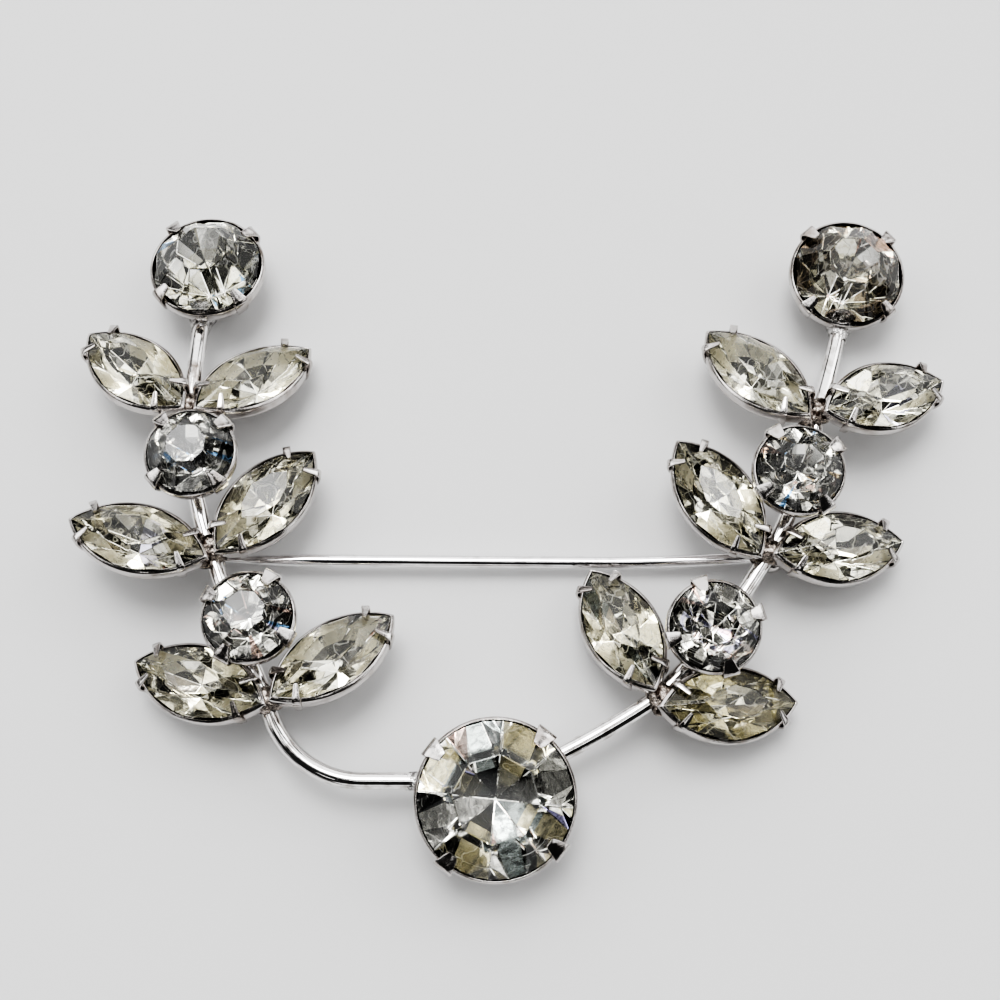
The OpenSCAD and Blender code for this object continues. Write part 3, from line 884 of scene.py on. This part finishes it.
def build_solder():
    places = {s[0]: place(s) for s in SETTINGS}
    for name, (joint, *leaves) in JOINTS.items():
        joint = Vector(joint)
        blobs = [(joint + Vector((0, 0, JOINT_LIFT)), JOINT_R)]
        for leaf in leaves:
            heel = places[leaf] @ Vector(HEEL)
            blobs += [(joint.lerp(heel, 0.5), BETWEEN_R), (heel, HEEL_R)]
        lump("solder_" + name, blobs, SOLDER)
    for name, (narrow, wide) in CONES.items():
        narrow, wide = Vector(narrow), Vector(wide)
        blobs = []
        for share in (0, 0.25, 0.5, 0.75, 1):
            flare = CONE_FLARE * share**CONE_CURVE
            blobs.append((narrow.lerp(wide, share), WIRE_D / 2 + CONE_MARGIN + flare))
        lump("solder_tip_" + name, blobs, COLLAR_GREY)
    start, ahead = Vector(COLLAR), (Vector(LAST_BEND) - Vector(LAST_START)).normalized()
    blobs = [(start + ahead * COLLAR_STEP * i, COLLAR_R - COLLAR_TAPER * i) for i in range(4)]
    lump("solder_large", blobs, COLLAR_GREY)


def off_axis(where, r, y, degrees):
    """The point at distance r from an axis along Y through a place, at an angle round it."""
    x, z = polar(r, degrees)
    return Vector(where) + Vector((x, y, z))


def lathe_y(mesh, profile, where, sides=48):
    """Turns (radius, y) points round an axis along Y, into a closed ring."""
    rings = [[off_axis(where, r, y, k * 360 / sides) for r, y in profile] for k in range(sides)]
    return loft(mesh, rings, closed=False)


def build_pin():
    mesh = bmesh.new()
    ahead = Vector(PIN_BEND) - Vector(PIN_SHOULDER)
    tip, shoulder = Vector(PIN_TIP), Vector(PIN_SHOULDER)
    points = [tip.lerp(shoulder, t / POINT_STEPS) for t in range(POINT_STEPS)]
    swell = [math.sin(math.pi / 2 * t / POINT_STEPS) for t in range(POINT_STEPS)]
    radii = [PIN_TIP_D / 2 + (PIN_D - PIN_TIP_D) / 2 * share for share in swell]
    points += [shoulder.lerp(Vector(PIN_BEND), t / SHAFT_STEPS) for t in range(SHAFT_STEPS)]
    points += tangent_arc(PIN_BEND, ahead, EYE, BEND_STEPS)[:-2]
    radii += [PIN_D / 2] * (len(points) - len(radii))
    tube(mesh, points, radii)
    inner = RIVET_D / 2 + RIVET_PLAY
    outer = EYE_D / 2
    half = EYE_W / 2
    soft = EYE_SOFT
    ring = [
        (inner, -half + soft), (inner + soft, -half), (outer - soft, -half), (outer, -half + soft),
        (outer, half - soft), (outer - soft, half), (inner + soft, half), (inner, half - soft),
    ]
    lathe_y(mesh, ring, EYE)
    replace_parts(new_piece("pin", mesh, [PIN], body="pin"), "pin_stem")


def build_rivet():
    mesh = bmesh.new()
    shank = EYE_W / 2 + EAR_GAP + EAR_T + 0.02
    profile = [(0.0001, -shank - RIVET_HEAD_T)]
    for side in (-1, 1):
        bends = [polar(1, angle) for angle in (20, 45, 70, 90)]
        dome = [(RIVET_HEAD_D / 2 * out, shank + RIVET_HEAD_T * up) for up, out in bends]
        dome += [(RIVET_HEAD_D / 2, shank), (RIVET_D / 2, shank)]
        if side < 0:
            profile += [(r, -y) for r, y in dome]
        else:
            profile += dome[::-1]
    profile.append((0.0001, shank + RIVET_HEAD_T))
    step = -360 / RIVET_SIDES
    loft(mesh, [[off_axis(EYE, r, y, k * step) for k in range(RIVET_SIDES)] for r, y in profile])
    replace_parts(new_piece("rivet", mesh, [SHADE_PAINTED_PLATE]), "hinge_rivet")


def build_hinge():
    mesh = bmesh.new()
    plate_w = EYE_W + 2 * (EAR_GAP + EAR_T)
    bottom = EYE[2] + EYE_D / 2 + PLATE_LIFT
    middle = Vector((EYE[0], EYE[1], bottom + PLATE_T / 2))
    add_box(mesh, middle, (PLATE_L, plate_w, PLATE_T))
    ear_h = bottom - EYE[2] + PLATE_T / 2
    for side in (-1, 1):
        y = EYE[1] + side * (EYE_W / 2 + EAR_GAP + EAR_T / 2)
        shape = [(EYE[0] - PLATE_L / 2, EYE[2] + ear_h), (EYE[0] - EAR_R, EYE[2])]
        bends = [polar(EAR_R, angle) for angle in range(200, 341, 20)]
        shape += [(EYE[0] + x, EYE[2] + z) for x, z in bends]
        shape += [(EYE[0] + EAR_R, EYE[2]), (EYE[0] + PLATE_L / 2, EYE[2] + ear_h)]
        loft(mesh, [[(x, y + dy, z) for x, z in shape] for dy in (-EAR_T / 2, EAR_T / 2)], smooth=False)
    soften(mesh, mesh.edges[:], HINGE_SOFT, 2)
    new_piece("hinge_base", mesh, [SHADE_PAINTED_PLATE])


def build_catch():
    mesh = bmesh.new()
    rings = []
    side = 360 / CATCH_SIDES
    for i in range(CATCH_STEPS + 1):
        angle = CATCH_FROM + CATCH_TURN * i / CATCH_STEPS
        ring = []
        for k in range(CATCH_SIDES):
            across, through = polar(1, side / 2 + k * side)
            across = math.copysign(abs(across) ** 0.3, across) * CATCH_W / 2
            through = math.copysign(abs(through) ** 0.6, through) * CATCH_T / 2
            y, z = polar(CATCH_GAP + CATCH_T / 2 + through, angle)
            ring.append(Vector(CATCH) + Vector((across, y, z)))
        rings.append(ring)
    loft(mesh, rings)
    foot = Vector(CATCH) + Vector((0, 0, CATCH_GAP + CATCH_T / 2 + CATCH_STRAP_H / 2))
    add_box(mesh, foot, (CATCH_W, CATCH_STRAP_W, CATCH_STRAP_H))
    new_piece("catch", mesh, [SHADE_PAINTED_PLATE])


# Surroundings


def point_at(obj, target):
    obj.rotation_euler = (Vector(target) - obj.location).to_track_quat("-Z", "Y").to_euler()


def build_camera():
    """The photograph's view, from above and from the side of the large stone."""
    data = bpy.data.cameras.new("camera")
    data.lens = LENS
    data.sensor_width = SENSOR
    data.clip_start = CLIP_START * MM
    camera = bpy.data.objects.new("camera", data)
    target = mm(CAMERA_TARGET)
    across, up = polar(CAMERA_DISTANCE * MM, CAMERA_ELEVATION)
    camera.location = target + Vector((0, -across, up))
    point_at(camera, target)
    bpy.context.scene.collection.objects.link(camera)
    bpy.context.scene.camera = camera


def build_floor():
    mesh = bmesh.new()
    bmesh.ops.create_grid(mesh, x_segments=1, y_segments=1, size=2)
    data = bpy.data.meshes.new("floor")
    mesh.to_mesh(data)
    mesh.free()
    floor = bpy.data.objects.new("floor", data)
    paint = material("floor", FLOOR_GREY, roughness=0.6)[0]
    data.materials.append(paint)
    bpy.context.scene.collection.objects.link(floor)


def sky_direction(azimuth, elevation):
    """A direction in the sky. Azimuth 0 is +Y, and 90 is +X."""
    across, up = polar(1, elevation)
    return (across * math.sin(math.radians(azimuth)), across * math.cos(math.radians(azimuth)), up)


def build_world():
    """A pale room: its tone by height, then round patches of other tones, windows and dark shapes."""
    world = bpy.data.worlds.new("room")
    bpy.context.scene.world = world
    world.use_nodes = True
    nodes, links = world.node_tree.nodes, world.node_tree.links
    where = nodes.new("ShaderNodeTexCoord").outputs["Generated"]
    split = nodes.new("ShaderNodeSeparateXYZ")
    links.new(where, split.inputs["Vector"])
    height = spread(nodes, links, split.outputs["Z"], 0.0, 1.0, ROOM_LOW, ROOM_HIGH)
    dusk = nodes.new("ShaderNodeMath")
    dusk.operation = "MULTIPLY"
    links.new(height, dusk.inputs[0])
    links.new(spread(nodes, links, split.outputs["Z"], *HORIZON_HEIGHTS, HORIZON, 1), dusk.inputs[1])
    height = dusk.outputs["Value"]
    shapes = nodes.new("ShaderNodeTexNoise")
    shapes.inputs["Scale"].default_value = CLUTTER
    shapes.inputs["Detail"].default_value = 2
    links.new(where, shapes.inputs["Vector"])
    clutter = nodes.new("ShaderNodeMath")
    clutter.operation = "MULTIPLY"
    links.new(height, clutter.inputs[0])
    uneven = spread(nodes, links, shapes.outputs["Fac"], *CLUTTER_EDGES, *CLUTTER_TONES)
    links.new(uneven, clutter.inputs[1])
    tone = clutter.outputs["Value"]
    for azimuth, elevation, radius, soft, value in PATCHES:
        along = nodes.new("ShaderNodeVectorMath")
        along.operation = "DOT_PRODUCT"
        along.inputs[1].default_value = sky_direction(azimuth, elevation)
        links.new(where, along.inputs[0])
        outer, inner = polar(1, radius + soft)[0], polar(1, radius)[0]
        share = spread(nodes, links, along.outputs["Value"], outer, inner, 0, 1)
        mixed = nodes.new("ShaderNodeMix")
        mixed.inputs["B"].default_value = value
        links.new(share, mixed.inputs["Factor"])
        links.new(tone, mixed.inputs["A"])
        tone = mixed.outputs["Result"]
    links.new(tone, nodes["Background"].inputs["Color"])


build_camera()
build_world()
build_floor()
bpy.context.scene.view_settings.view_transform = "AgX"
bpy.context.scene.view_settings.look = "AgX - Very High Contrast"
bpy.context.scene.view_settings.exposure = EXPOSURE

settings = [build_setting(s) for s in SETTINGS]
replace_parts(settings[0], "frame")
for s in SETTINGS:
    cut_stone(s)
build_wires()
build_solder()
build_hinge()
build_catch()
build_pin()
build_rivet()
